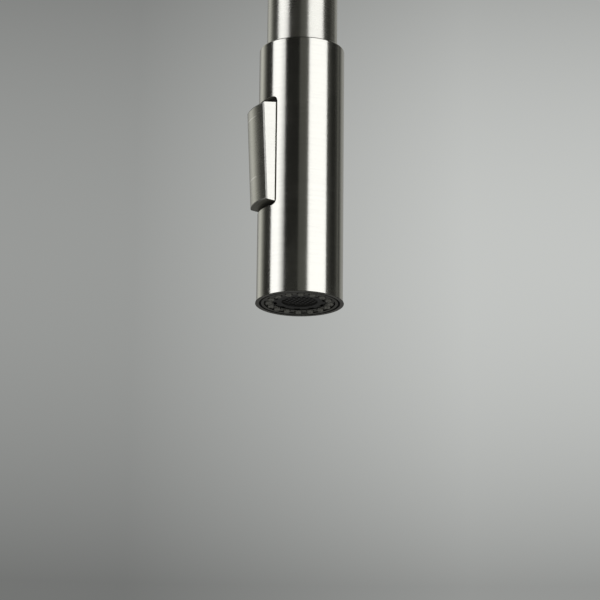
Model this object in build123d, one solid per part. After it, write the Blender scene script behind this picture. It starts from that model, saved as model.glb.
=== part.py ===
from build123d import *
from math import cos, pi, radians, sin, sqrt, tan
import os

# Pull-down spray head of a kitchen tap, docked on the straight end of its spout tube.
# Millimetres, +Z up. The origin is the centre of the spout tube's upper cut end, where the rest of the
# tap carries it. The head hangs below it, its rocker faces -Y and the water leaves downwards.
# Places inside the head are depths below the head's flat top. A negative depth lies above the top.

# ---------------------------------------------------------------- spout tube and dock
tube_d = 29.0              # outside diameter of the spout tube
tube_wall = 1.2
tube_len = 40.0            # straight end of the spout
tube_edge = 0.3            # bevel on the tube's lower edge
dock_gap = 0.4             # open joint between the tube and the docked head
sleeve_len = 31.0          # docking sleeve, from its mouth up
mouth_recess = 0.5         # the sleeve's mouth is set back into the tube
mouth_bevel = 1.0
shoulder_t = 1.5           # shelf in the sleeve that carries the magnet
magnet_t = 4.0
magnet_w = 2.45
magnet_ledge = 0.2         # shelf beyond the magnet's bore, round the hose
magnet_pocket_wall = 1.2   # sleeve wall around the magnet
dock_play = 0.3            # steel ring to shelf when docked
sleeve_key_wall = 1.15     # sleeve behind the key grooves

# ---------------------------------------------------------------- inlet on the hose's end
collar_wall = 1.9          # keyed collar that slides in the sleeve
collar_len = 17.5
collar_gap = 0.35         # collar above the head's top, so that the head turns freely
key_count = 6
key_w = 2.2
key_h = 0.9
steel_ring_t = 2.0
steel_ring_set = 0.5       # steel ring short of the collar's edge
thread_core_d = 14.0       # core of the M15 x 1 hose thread
thread_len = 10.0
thread_wall = 0.9
filter_t = 1.2
filter_ledge = 1.35        # filter's seat round the waterway
filter_mesh_t = 0.4
filter_web = 0.6           # wall between the filter's holes
filter_rings = 2
waterway_w = 0.6           # ledge above the valve's cage, round the waterway
swivel_flange_w = 1.2      # flange beyond the inlet's neck
swivel_flange_t = 2.0
swivel_lift = 0.4          # flange below the shell's top wall
washer_t = 0.8
washer_w = 2.3
spigot_end = 17.0          # depth of the spigot's lower end
spigot_groove_top = 7.0    # depth of the upper seal's groove
spigot_groove_gap = 5.0
spigot_groove_w = 1.7
spigot_groove_cut = 1.4

# ---------------------------------------------------------------- non-return valve in the spigot
spigot_wall = 0.9          # behind the seals' grooves
cage_top = 2.0             # depth of the cage's upper end
cage_len = 14.0
cage_wall = 0.85
check_seat_w = 1.0
check_seat_t = 1.2
check_spider_t = 1.4
check_port_wall = 0.725
check_stem_d = 1.9
check_disc_gap = 1.0       # flow round the disc
check_disc_t = 1.5
check_seal_t = 0.6
spring_wire_d = 0.5
spring_turns = 6

# ---------------------------------------------------------------- outer shell
head_d = 35.0
head_len = 108.7           # flat top to the lowest face of the rim
shell_wall = 1.5
shell_top_t = 1.5
shell_top_round = 0.8      # rounding of the top's outer edge
window_w = 18.2            # opening for the rocker
window_h = 46.6
window_round = 2.2
rocker_depth = 47.8        # depth of the rocker's pin, and of the window's middle

# ---------------------------------------------------------------- rocker
button_w = 16.3
button_up = 20.05          # button's reach above the pin, along its crown
button_down = 20.65        # and below it
draft_up = 4.5             # degrees by which the ends slope outwards to the back
draft_down = 9.0
crown_out = 10.6           # crown of the button in front of the pin
crown_round = 25.0         # radius of the button's curved face
button_edge = 0.6          # bevel along the face
button_skirt = 3.0         # back of the button, in front of the pin
button_wall = 1.25
button_face_t = 1.8
tilt = 2.8                 # degrees each way from upright
pin_fore = 10.5            # pin's place in front of the head's middle
pin_d = 2.0
pin_len = 21.6
lever_h = 30.0
lever_back = 1.2           # back of the lever's block, in front of the pin
lever_rib = 1.25
boss_d = 5.2
boss_len = 15.0
arm_w = 7.4
arm_t = 2.2
arm_past_stem = 2.2        # fork's tips beyond the stem's middle
fork_w = 3.0

# ---------------------------------------------------------------- change-over valve
stem_y = 3.0               # the valve stem's place in the head
stem_neck_d = 2.2
stem_flange_d = 5.2
stem_flange_t = 1.5
stem_d = 3.2
piston_top = 57.5
piston_len = 8.5
piston_groove_w = 1.4
piston_groove_cut = 1.1
guide_d = 6.0              # bore that the stem's piston slides in
rod_d = 2.8
disc_d = 8.8
disc_core_t = 1.0
disc_rubber_t = 0.5
disc_hub_d = 4.0
upper_seat = 77.5          # depth of the upper seat
seat_hole_d = 6.0
chamber_d = 12.0
lower_hole_d = 5.6

# ---------------------------------------------------------------- valve body
flow_y = 9.9               # waterway behind the rocker
flow_d = 6.2
cross_top = 17.3           # channel from the spigot to the waterway
cross_h = 3.2
flow_end = 80.0
front_pocket_w = 18.8      # room for the rocker
front_pocket_fore = 7.6    # its back wall, in front of the head's middle
front_pocket_over = 0.8    # pocket beyond the window, above and below
back_pocket_w = 8.6        # room for the arm and the stem
back_pocket_back = 6.0
back_pocket_top = 38.0
guide_top = 56.0
ear_d = 5.6
spray_fore = 11.9          # channel to the jets, in front of the head's middle
spray_d = 3.2
spray_top = 73.2
spray_cross_w = 3.6
spray_cross_h = 2.8
ring_chamber_d = 7.2
seat_lip_t = 1.5
body_neck_top = 76.0
body_neck_d = 28.4
body_end = 84.0

# ---------------------------------------------------------------- nozzle
divider_flange_t = 3.0
divider_bore_d = 12.8
divider_ledge = 92.0        # depth where the divider's bore widens
divider_tube_d = 20.4
divider_socket_d = 17.8
divider_end = 105.6
divider_seal_d = 18.9
divider_seal_wire_d = 1.2
restrictor_t = 1.5
restrictor_hole_d = 1.8
restrictor_holes = 6
restrictor_ring_d = 10.0
aerator_seal_t = 1.5
aerator_seal_w = 1.85       # width of the flat seal's ring
aerator_flange_w = 0.3     # flange beyond the divider's tube
aerator_flange_t = 2.2
aerator_wall = 0.9
aerator_lip = 0.65         # lip that keeps the insert in
notch_count = 10
notch_w = 2.6
notch_cut = 1.1
notch_h = 1.5
insert_top = 97.0
insert_wall = 0.7
insert_recess = 0.7        # insert's face above the aerator's
comb_t = 3.0
comb_web = 0.35            # wall between the honeycomb's holes
comb_rings = 3
rim_d = 35.8
rim_t = 0.8
rim_w = 2.0                # flat of the rim
rim_groove_w = 0.55
rim_groove_h = 0.8
face_recess = 0.5          # face above the rim
face_t = 2.25
face_wall = 1.45
nozzle_count = 16
nozzle_share = 0.72        # nozzle's root, as a share of the mat's width
nozzle_tip_share = 0.8     # nozzle's tip, as a share of its root
nozzle_bore_share = 0.35   # its bore, as a share of its root
nozzle_out = 0.7           # nozzles beyond the face
mat_t = 2.0

# ---------------------------------------------------------------- clearances
fixed_fit = 0.05           # pieces seated in each other
run_fit = 0.1              # turning and sliding on a bearing
free_fit = 0.3             # moving past each other
core_fit = 0.2             # valve body in the shell
swivel_gap = 0.5           # shell's top hole round the inlet
shut_fit = 0.05            # a closed valve and its seat
hair = 0.03                # seal to groove

# ---------------------------------------------------------------- worked out from the sizes above
sleeve_r = tube_d / 2 - tube_wall - fixed_fit
magnet_r = sleeve_r - magnet_pocket_wall
magnet_bore_r = magnet_r - magnet_w
key_r = sleeve_r - sleeve_key_wall - free_fit
collar_r = key_r - key_h
neck_r = collar_r - collar_wall
swivel_r = neck_r + swivel_flange_w
spigot_r = swivel_r - washer_w
cage_bore_r = spigot_r - spigot_groove_cut - spigot_wall
waterway_r = cage_bore_r - waterway_w
filter_pitch = waterway_r / (filter_rings + 0.5)
cage_inner_r = cage_bore_r - fixed_fit - cage_wall
check_disc_r = cage_inner_r - check_disc_gap
check_seat_r = check_disc_r - check_seat_w
check_stem_r = check_stem_d / 2
spring_r = (2 * check_stem_r + check_disc_r) / 3
filter_r = waterway_r + filter_ledge
pin_y = -pin_fore
front_pocket_back = -front_pocket_fore
spray_y = -spray_fore
spigot_groove_depths = (spigot_groove_top, spigot_groove_top + spigot_groove_gap)
head_top = -(tube_len + dock_gap)
tube_end = -dock_gap
mouth = tube_end - mouth_recess
collar_bottom = -collar_gap
collar_top = collar_bottom - collar_len
inlet_top = collar_top - steel_ring_t
shoulder_bottom = inlet_top - dock_play
shoulder_top = shoulder_bottom - shoulder_t
flange_top = shell_top_t + swivel_lift
flange_end = flange_top + swivel_flange_t
socket_floor = flange_end + washer_t + run_fit
filter_top = inlet_top + thread_len
shell_r = head_d / 2
shell_in_r = shell_r - shell_wall
shell_end = head_len - rim_t
core_r = shell_in_r - core_fit
arm_len = stem_y - pin_y
travel = 2 * arm_len * sin(radians(tilt))
neck_half = arm_t / 2 + free_fit
neck_depth = rocker_depth - travel / 2
disc_top = upper_seat + shut_fit
disc_t = disc_core_t + 2 * disc_rubber_t
lower_seat = disc_top + disc_t + travel + shut_fit
face_end = head_len - face_recess
face_top = face_end - face_t
face_r = body_neck_d / 2 + run_fit + face_wall
face_wall_in = face_r - face_wall
socket_r = divider_socket_d / 2 - fixed_fit
aerator_bore_r = socket_r - aerator_wall
insert_r = aerator_bore_r - fixed_fit
comb_pitch = (insert_r - insert_wall) / (comb_rings + 0.5)
aerator_flange_r = divider_tube_d / 2 + aerator_flange_w
face_hole_r = aerator_flange_r + run_fit
mat_r = face_wall_in - run_fit
nozzle_ring_d = mat_r + face_hole_r
nozzle_r = nozzle_share * (mat_r - face_hole_r) / 2
aerator_top = divider_ledge + restrictor_t + aerator_seal_t + 3 * fixed_fit
aerator_flange_top = divider_end + run_fit
aerator_end = aerator_flange_top + aerator_flange_t


def z_at(depth):
    return head_top - depth


def turned(*outline):
    """A piece turned about Z from an outline of (radius, depth) points."""
    points = [(radius, z_at(depth)) for radius, depth in outline]
    return revolve(Plane.XZ * make_face(Polyline(*points, close=True)), Axis.Z)


def bar(radius, top, end, x=0.0, y=0.0):
    """An upright cylinder between two depths."""
    height = end - top
    return Pos(x, y, z_at(top + height / 2)) * Cylinder(radius, height)


def tube(outer, inner, top, end, x=0.0, y=0.0):
    return bar(outer, top, end, x, y) - bar(inner, top, end, x, y)


def block(half_w, y_from, y_to, top, end):
    """A box across the middle plane, between two depths."""
    size = (2 * half_w, y_to - y_from, end - top)
    return Pos(0, (y_from + y_to) / 2, z_at((top + end) / 2)) * Box(*size)


def o_ring(groove_r, bore_r, depth, x=0.0, y=0.0):
    """A seal squeezed eight-sided between a groove and a bore, short of both by a hair."""
    middle = (bore_r + groove_r) / 2
    corner = ((bore_r - groove_r) / 2 - hair) / cos(pi / 8)
    angles = [(2 * n + 1) * pi / 8 for n in range(8)]
    outline = [(middle + corner * cos(a), depth + corner * sin(a)) for a in angles]
    return Pos(x, y, 0) * turned(*outline)


def honeycomb(pitch, rings):
    """Places of a hexagonal pattern, ring by ring round its middle."""
    spots = [(0.0, 0.0)]
    for ring in range(1, rings + 1):
        for side in range(6):
            a, b = radians(60 * side), radians(60 * side + 120)
            for step in range(ring):
                spots.append((pitch * (ring * cos(a) + step * cos(b)),
                              pitch * (ring * sin(a) + step * sin(b))))
    return spots


def around(count, circle_d):
    """Places evenly round a circle, the first towards -Y."""
    return [(circle_d / 2 * sin(2 * pi * n / count), -circle_d / 2 * cos(2 * pi * n / count))
            for n in range(count)]


def pierced(hole_d, spots, top, end):
    """Six-sided holes at the given places."""
    faces = Sketch() + [Pos(x, y) * RegularPolygon(hole_d / 2, 6) for x, y in spots]
    return Pos(0, 0, z_at(end)) * extrude(faces, end - top)


# ---------------------------------------------------------------- fixed to the tap
def spout_tube():
    outer, inner = tube_d / 2, tube_d / 2 - tube_wall
    top = -tube_len + tube_end
    return turned((inner, top), (outer, top), (outer, tube_end - tube_edge),
                  (outer - tube_edge, tube_end), (inner, tube_end))


def keys(radius, half_w, top, end):
    """Upright ribs, or the grooves for them, standing out to a radius all round."""
    rib = Pos(radius / 2, 0, z_at((top + end) / 2)) * Box(radius, 2 * half_w, end - top)
    return [Rot(0, 0, 360 * n / key_count) * rib for n in range(key_count)]


def docking_sleeve():
    bore = collar_r + free_fit
    top = mouth - sleeve_len
    sleeve = turned((bore + mouth_bevel, mouth), (sleeve_r, mouth), (sleeve_r, top), (magnet_r, top),
                    (magnet_r, shoulder_top), (magnet_bore_r - magnet_ledge, shoulder_top),
                    (magnet_bore_r - magnet_ledge, shoulder_bottom), (bore, shoulder_bottom),
                    (bore, mouth - mouth_bevel))
    return sleeve - keys(key_r + free_fit, key_w / 2 + free_fit, shoulder_bottom, mouth)


def dock_magnet():
    top = shoulder_top - fixed_fit - magnet_t
    return tube(magnet_r - fixed_fit, magnet_bore_r, top, shoulder_top - fixed_fit)


# ---------------------------------------------------------------- inlet on the hose's end
def swivel_inlet():
    spigot, bore = spigot_r, cage_bore_r
    inlet = turned((thread_core_d / 2, inlet_top), (thread_core_d / 2 + thread_wall, inlet_top),
                   (thread_core_d / 2 + thread_wall, collar_top), (neck_r, collar_top),
                   (neck_r, flange_top), (swivel_r, flange_top), (swivel_r, flange_end),
                   (spigot, flange_end), (spigot, spigot_end), (bore, spigot_end), (bore, cage_top),
                   (waterway_r, cage_top), (waterway_r, filter_top + filter_t),
                   (filter_r, filter_top + filter_t),
                   (filter_r, filter_top), (thread_core_d / 2, filter_top))
    for depth in spigot_groove_depths:
        half = spigot_groove_w / 2
        inlet -= tube(spigot, spigot - spigot_groove_cut, depth - half, depth + half)
    return inlet


def inlet_o_rings():
    groove, bore = spigot_r - spigot_groove_cut, spigot_r + run_fit
    return [o_ring(groove, bore, depth) for depth in spigot_groove_depths]


def docking_collar():
    body = bar(collar_r, collar_top, collar_bottom)
    body = chamfer(body.edges().group_by(Axis.Z)[-1], key_h)
    body += keys(key_r, key_w / 2, collar_top + 2 * key_h, collar_bottom)
    return body - bar(neck_r + fixed_fit, collar_top, collar_bottom)


def dock_steel_ring():
    inner = thread_core_d / 2 + thread_wall + fixed_fit
    return tube(collar_r - steel_ring_set, inner, inlet_top, collar_top - fixed_fit)


def inlet_filter():
    outer, end = filter_r - fixed_fit, filter_top + filter_t - fixed_fit
    frame = tube(outer, waterway_r - hair, filter_top, end)
    mesh = bar(waterway_r, end - filter_mesh_t, end)
    holes = honeycomb(filter_pitch, filter_rings)
    return frame + (mesh - pierced(filter_pitch - filter_web, holes, filter_top, end))


def swivel_washer():
    top = flange_end + fixed_fit
    return tube(swivel_r, spigot_r + fixed_fit, top, flange_end + washer_t)


# ---------------------------------------------------------------- non-return valve
cage_end = cage_top + cage_len
check_disc_top = cage_top + fixed_fit + check_seat_t + shut_fit


def check_valve_cage():
    outer, inner = cage_bore_r - fixed_fit, cage_inner_r
    top = cage_top + fixed_fit
    cage = bar(outer, top, cage_end) - bar(inner, top + check_seat_t, cage_end - check_spider_t)
    cage -= bar(check_seat_r, top, top + check_seat_t)
    cage -= bar(check_stem_r + run_fit, cage_end - check_spider_t, cage_end)
    port_r = (inner - check_stem_r) / 2 - check_port_wall
    for x, y in around(4, inner + check_stem_r):
        cage -= bar(port_r, cage_end - check_spider_t, cage_end, x, y)
    return cage


def check_poppet():
    disc_end = check_disc_top + check_disc_t
    disc = bar(check_disc_r, check_disc_top, disc_end)
    disc -= tube(check_disc_r, check_seat_r - check_seal_t, check_disc_top,
                 check_disc_top + check_seal_t)
    return disc + bar(check_stem_r, disc_end, cage_end - check_spider_t / 2)


def check_seal():
    inner = check_seat_r - check_seal_t + hair
    return tube(check_disc_r, inner, check_disc_top, check_disc_top + check_seal_t - hair)


def check_spring():
    """An upright coil between the poppet's disc and the cage's lower end."""
    top = check_disc_top + check_disc_t + shut_fit + spring_wire_d / 2
    end = cage_end - check_spider_t - shut_fit - spring_wire_d / 2
    height = end - top
    path = Pos(0, 0, z_at(end)) * Helix(height / spring_turns, height, spring_r)
    start = Plane(path @ 0, z_dir=path % 0)
    return sweep(start * RegularPolygon(spring_wire_d / 2, 6), path, is_frenet=True)


# ---------------------------------------------------------------- spray head
def outer_shell():
    top_hole = neck_r + swivel_gap
    shell = bar(shell_r, 0, shell_end)
    shell = fillet(shell.edges().group_by(Axis.Z)[-1], shell_top_round)
    shell -= bar(shell_in_r, shell_top_t, shell_end)
    shell -= bar(top_hole, 0, shell_top_t)
    window = RectangleRounded(window_w, window_h, window_round)
    cut = Plane.XZ.offset(-pin_y) * Pos(0, z_at(rocker_depth)) * window
    return shell - extrude(cut, shell_r)


def valve_body():
    body = bar(core_r, shell_top_t, body_neck_top) + bar(body_neck_d / 2, body_neck_top, body_end)
    # the swivel's socket, the channel to the waterway and the waterway
    body -= bar(swivel_r + free_fit, shell_top_t, socket_floor)
    body -= bar(spigot_r + run_fit, socket_floor, cross_top + cross_h)
    body -= block(flow_d / 2, 0, flow_y, cross_top, cross_top + cross_h)
    body -= bar(flow_d / 2, cross_top, flow_end, 0, flow_y)
    # room for the rocker, its arm and the stem, then the ears for the pin
    half_h = window_h / 2 + front_pocket_over
    body -= block(front_pocket_w / 2, -shell_r, front_pocket_back, rocker_depth - half_h,
                  rocker_depth + half_h)
    body -= block(back_pocket_w / 2, front_pocket_back, back_pocket_back, back_pocket_top, guide_top)
    ear = Pos(0, pin_y, z_at(rocker_depth)) * Rot(0, 90, 0) * Cylinder(ear_d / 2, 2 * core_r)
    ear_gap = block(boss_len / 2 + free_fit, -shell_r, 0, back_pocket_top, guide_top)
    body += (ear & bar(core_r, back_pocket_top, guide_top)) - ear_gap
    body -= Pos(0, pin_y, z_at(rocker_depth)) * Rot(0, 90, 0) * Cylinder(pin_d / 2 + hair, head_d)
    # the valve: guide, upper chamber with its channel to the jets, seat and lower chamber
    body -= bar(guide_d / 2, guide_top, spray_top, 0, stem_y)
    body -= bar(ring_chamber_d / 2, spray_top, upper_seat - seat_lip_t, 0, stem_y)
    body -= block(spray_cross_w / 2, spray_y, stem_y, spray_top, spray_top + spray_cross_h)
    body -= bar(spray_d / 2, spray_top, body_end, 0, spray_y)
    body -= bar(seat_hole_d / 2, upper_seat - seat_lip_t, upper_seat, 0, stem_y)
    return body - bar(chamber_d / 2, upper_seat, body_end, 0, stem_y)


def rocker_pin():
    pin = Rot(0, 90, 0) * Cylinder(pin_d / 2, pin_len)
    return Pos(0, pin_y, z_at(rocker_depth)) * pin


def diverter_seat():
    return tube(chamber_d / 2 - fixed_fit, lower_hole_d / 2, lower_seat, body_end, 0, stem_y)


def spray_divider():
    top = body_end + fixed_fit
    step = top + divider_flange_t
    divider = turned((divider_bore_d / 2, top), (body_neck_d / 2, top), (body_neck_d / 2, step),
                     (divider_tube_d / 2, step), (divider_tube_d / 2, divider_end),
                     (divider_socket_d / 2, divider_end), (divider_socket_d / 2, divider_ledge),
                     (divider_bore_d / 2, divider_ledge))
    groove = divider_seal_wire_d / 2 + hair
    divider -= tube(divider_seal_d / 2 + groove, divider_seal_d / 2 - groove, top, top + 2 * groove)
    return divider - bar(spray_d / 2, top, step, 0, spray_y)


def divider_seal():
    middle, half = divider_seal_d / 2, divider_seal_wire_d / 2 + hair
    return o_ring(middle - half, middle + half, body_end + fixed_fit + half)


def flow_restrictor():
    top = divider_ledge + fixed_fit
    disc = bar(socket_r, top, divider_ledge + restrictor_t)
    spots = around(restrictor_holes, restrictor_ring_d)
    return disc - pierced(restrictor_hole_d, spots, top, divider_ledge + restrictor_t)


def aerator_seal():
    top = divider_ledge + restrictor_t + fixed_fit
    return tube(socket_r, socket_r - aerator_seal_w, top, top + aerator_seal_t)


def aerator_housing():
    bore, lip = aerator_bore_r, aerator_bore_r - aerator_lip
    lip_top = aerator_end - insert_recess
    housing = turned((bore, aerator_top), (socket_r, aerator_top), (socket_r, aerator_flange_top),
                     (aerator_flange_r, aerator_flange_top), (aerator_flange_r, aerator_end),
                     (lip, aerator_end), (lip, lip_top), (bore, lip_top))
    notch = block(notch_w / 2, -aerator_flange_r - notch_cut, notch_cut - aerator_flange_r,
                  aerator_end - notch_h, aerator_end)
    return housing - [Rot(0, 0, 360 * n / notch_count) * notch for n in range(notch_count)]


def aerator_insert():
    end = aerator_end - insert_recess - fixed_fit
    insert = bar(insert_r, insert_top, end) - bar(insert_r - insert_wall, insert_top, end - comb_t)
    holes = honeycomb(comb_pitch, comb_rings)
    return insert - pierced(comb_pitch - comb_web, holes, end - comb_t, end)


def spray_face():
    rim_in = rim_d / 2 - rim_w
    groove_in = rim_in - rim_groove_w
    groove_top = face_end - rim_groove_h
    face = turned((face_wall_in, body_neck_top + run_fit), (face_r, body_neck_top + run_fit),
                  (face_r, shell_end), (rim_d / 2, shell_end), (rim_d / 2, head_len),
                  (rim_in, head_len), (rim_in, groove_top), (groove_in, groove_top),
                  (groove_in, face_end), (face_hole_r, face_end), (face_hole_r, face_top),
                  (face_wall_in, face_top))
    for x, y in around(nozzle_count, nozzle_ring_d):
        face -= bar(nozzle_r + run_fit, face_top, face_end, x, y)
    return face


def nozzle_mat():
    end = face_top - fixed_fit
    mat = tube(mat_r, face_hole_r, end - mat_t, end)
    length = face_end + nozzle_out - end
    nozzle = Cone(nozzle_tip_share * nozzle_r, nozzle_r, length)
    spots = around(nozzle_count, nozzle_ring_d)
    for x, y in spots:
        mat += Pos(x, y, z_at(end + length / 2)) * nozzle
    return mat - pierced(2 * nozzle_bore_share * nozzle_r, spots, end - mat_t, end + length)


# ---------------------------------------------------------------- rocker, drawn upright about its pin
def set_on_pin(piece):
    """Tip a piece of the rocker, upper end outwards, and put it on its pin."""
    return Pos(0, pin_y, z_at(rocker_depth)) * Rot(tilt, 0, 0) * piece


def rocker_button():
    half = button_w / 2
    centre = crown_round - crown_out
    edge = centre - sqrt(crown_round ** 2 - half ** 2)
    outline = Polyline((-half, edge), (-half, -button_skirt), (half, -button_skirt), (half, edge))
    outline += ThreePointArc((half, edge), (0, -crown_out), (-half, edge))
    button = extrude(make_face(outline), head_d, both=True)
    depth = crown_out - button_skirt
    high = button_up + depth * tan(radians(draft_up))
    low = -button_down - depth * tan(radians(draft_down))
    side = Polyline((-crown_out, button_up), (-button_skirt, high), (-button_skirt, low),
                    (-crown_out, -button_down), close=True)
    button &= extrude(Plane.YZ * make_face(side), head_d, both=True)
    rim = [e for e in button.edges() if e.center().Y < edge + hair]
    button = chamfer(rim, button_edge)
    hollow_y = -(crown_out - button_face_t)
    hollow = Box(button_w - 2 * button_wall, -button_skirt - hollow_y,
                 button_up + button_down - 2 * button_wall)
    middle = Pos(0, (hollow_y - button_skirt) / 2, (button_up - button_down) / 2)
    return set_on_pin(button - middle * hollow)


def rocker_lever():
    half = button_w / 2 - button_wall - fixed_fit
    front = -(crown_out - button_face_t - fixed_fit)
    depth = -lever_back - front
    lever = Pos(0, front + depth / 2, 0) * Box(2 * half, depth, lever_h)
    cell_w = half - 1.5 * lever_rib
    cell_h = lever_h / 2 - boss_d / 2 - lever_rib
    cell = Box(cell_w, depth - lever_rib, cell_h)
    for x in (-1, 1):
        for z in (-1, 1):
            lever -= Pos(x * (cell_w + lever_rib) / 2, front + (depth + lever_rib) / 2,
                         z * (boss_d + cell_h) / 2) * cell
    lever += Rot(0, 90, 0) * Cylinder(boss_d / 2, boss_len)
    arm_end = arm_len + arm_past_stem
    lever += Pos(0, (arm_end - lever_back) / 2, 0) * Box(arm_w, arm_end + lever_back, arm_t)
    lever -= Rot(0, 90, 0) * Cylinder(pin_d / 2 + run_fit, button_w)
    lever -= Pos(0, arm_len, 0) * Cylinder(fork_w / 2, arm_t)
    lever -= Pos(0, arm_len + arm_past_stem / 2, 0) * Box(fork_w, arm_past_stem, arm_t)
    return set_on_pin(lever)


# ---------------------------------------------------------------- change-over valve's stem
def piston_grooves():
    return [piston_top + piston_len * share for share in (0.25, 0.75)]


def diverter_spool():
    flange, piston = stem_flange_d / 2, guide_d / 2 - run_fit
    neck_top, neck_end = neck_depth - neck_half, neck_depth + neck_half
    spool = bar(flange, neck_top - stem_flange_t, neck_top, 0, stem_y)
    spool += bar(stem_neck_d / 2, neck_top, neck_end, 0, stem_y)
    spool += bar(flange, neck_end, neck_end + stem_flange_t, 0, stem_y)
    spool += bar(stem_d / 2, neck_end + stem_flange_t, piston_top, 0, stem_y)
    spool += bar(piston, piston_top, piston_top + piston_len, 0, stem_y)
    for depth in piston_grooves():
        half = piston_groove_w / 2
        spool -= tube(piston, piston - piston_groove_cut, depth - half, depth + half, 0, stem_y)
    spool += bar(rod_d / 2, piston_top + piston_len, disc_top, 0, stem_y)
    spool += bar(disc_hub_d / 2, disc_top, disc_top + disc_t, 0, stem_y)
    core_top = disc_top + disc_rubber_t
    return spool + bar(disc_d / 2, core_top, core_top + disc_core_t, 0, stem_y)


def diverter_o_rings():
    groove = guide_d / 2 - run_fit - piston_groove_cut
    return [o_ring(groove, guide_d / 2, depth, 0, stem_y) for depth in piston_grooves()]


def diverter_disc_seals():
    inner = disc_hub_d / 2 + hair
    below = disc_top + disc_t - disc_rubber_t
    return [tube(disc_d / 2, inner, disc_top, disc_top + disc_rubber_t - hair, 0, stem_y),
            tube(disc_d / 2, inner, below + hair, disc_top + disc_t, 0, stem_y)]


pieces = [spout_tube, docking_sleeve, dock_magnet, swivel_inlet, docking_collar, dock_steel_ring,
          inlet_filter, inlet_o_rings, swivel_washer, check_valve_cage, check_poppet, check_seal,
          check_spring, outer_shell, valve_body, rocker_pin, diverter_seat, spray_divider,
          divider_seal, flow_restrictor, aerator_seal, aerator_housing, aerator_insert, nozzle_mat,
          spray_face, rocker_button, rocker_lever, diverter_spool, diverter_o_rings,
          diverter_disc_seals]

os.makedirs("parts", exist_ok=True)
for piece in pieces:
    made = piece()
    if isinstance(made, list):
        made = Compound(children=made)
    export_step(made, f"parts/{piece.__name__}.step")
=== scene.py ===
from math import atan2, cos, pi, radians, sin, sqrt, tan

import bmesh
import bpy
from mathutils import Matrix, Vector


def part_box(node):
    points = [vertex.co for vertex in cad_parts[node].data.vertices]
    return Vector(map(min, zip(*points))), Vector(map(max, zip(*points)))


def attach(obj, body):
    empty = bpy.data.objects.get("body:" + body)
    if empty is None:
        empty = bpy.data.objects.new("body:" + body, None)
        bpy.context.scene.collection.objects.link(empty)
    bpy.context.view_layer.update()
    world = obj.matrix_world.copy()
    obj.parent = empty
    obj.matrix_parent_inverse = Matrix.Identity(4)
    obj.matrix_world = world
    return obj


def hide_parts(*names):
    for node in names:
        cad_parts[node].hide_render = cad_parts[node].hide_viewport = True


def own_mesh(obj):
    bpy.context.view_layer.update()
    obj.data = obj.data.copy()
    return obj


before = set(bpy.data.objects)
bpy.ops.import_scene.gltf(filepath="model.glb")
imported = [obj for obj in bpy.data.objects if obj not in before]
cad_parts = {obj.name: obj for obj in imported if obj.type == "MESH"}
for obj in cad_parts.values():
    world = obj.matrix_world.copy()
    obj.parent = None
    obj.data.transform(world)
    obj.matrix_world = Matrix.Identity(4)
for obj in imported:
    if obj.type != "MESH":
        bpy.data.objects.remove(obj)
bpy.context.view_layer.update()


# ---- Spout tube -------------------------------------------------------------------------------------
# The straight end of the tap's spout: stainless steel tube, 29 mm across with a wall of 1.2 mm. It is cut
# square, its edges are broken by hand and the outside is belt-brushed round and round.

MM = 0.001                      # sizes are in mm, and the frame is in metres


class Value:
    """What a shader node gives out. A sum with it adds a Math node to the same tree."""

    def __init__(self, tree, socket):
        self.tree, self.socket = tree, socket

    def worked(self, operation, first, second):
        return self.tree.add("Math", {"operation": operation}, {0: first, 1: second})

    def __add__(self, other):
        return self.worked("ADD", self, other)

    def __sub__(self, other):
        return self.worked("SUBTRACT", self, other)

    def __rsub__(self, other):
        return self.worked("SUBTRACT", other, self)

    def __mul__(self, other):
        return self.worked("MULTIPLY", self, other)

    def __truediv__(self, other):
        return self.worked("DIVIDE", self, other)

    __radd__ = __add__

    def ramped(self, low, high):
        """0 below low, 1 above high and a smooth step between them."""
        return self.tree.add("MapRange", {"interpolation_type": "SMOOTHSTEP"},
                             {"Value": self, "From Min": low, "From Max": high})


class Tree:
    """The shader nodes of one finish, of the world or of a lamp."""

    def __init__(self, owner):
        owner.use_nodes = True
        self.nodes, self.links = owner.node_tree.nodes, owner.node_tree.links
        self.nodes.clear()

    def add(self, kind, settings=None, sockets=None, out=0):
        node = self.nodes.new("ShaderNode" + kind)
        for name, value in (settings or {}).items():
            if name == "stops":
                while len(node.color_ramp.elements) < len(value):
                    node.color_ramp.elements.new(0.5)
                for element, (place, tone) in zip(node.color_ramp.elements, value):
                    element.position, element.color = place, (tone, tone, tone, 1)
            else:
                setattr(node, name, value)
        for name, value in (sockets or {}).items():
            if isinstance(value, Value):
                self.links.new(value.socket, node.inputs[name])
            else:
                node.inputs[name].default_value = value
        return Value(self, node.outputs[out]) if node.outputs else None

    def place(self, stretch=(1, 1, 1), shift=(0, 0, 0)):
        """A point of the piece in its own metres, stretched for a noise."""
        point = self.add("TexCoord", out=3)
        return self.add("Mapping", {}, {"Vector": point, "Scale": stretch, "Location": shift})

    def noise(self, place, detail=3, rough=0.5):
        return self.add("TexNoise", {}, {"Vector": place, "Scale": 1, "Detail": detail,
                                         "Roughness": rough})

    def mixed(self, share, first, second):
        """A colour between two others."""
        return self.add("Mix", {"data_type": "RGBA"}, {0: share, 6: first, 7: second}, out=2)

    def tinted(self, first, second):
        """Two colours multiplied."""
        return self.add("Mix", {"data_type": "RGBA", "blend_type": "MULTIPLY"},
                        {0: 1.0, 6: first, 7: second}, out=2)

    def surface(self, **sockets):
        shader = self.add("BsdfPrincipled", {}, {n.replace("_", " "): v for n, v in sockets.items()})
        self.add("OutputMaterial", {}, {"Surface": shader})


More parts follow.
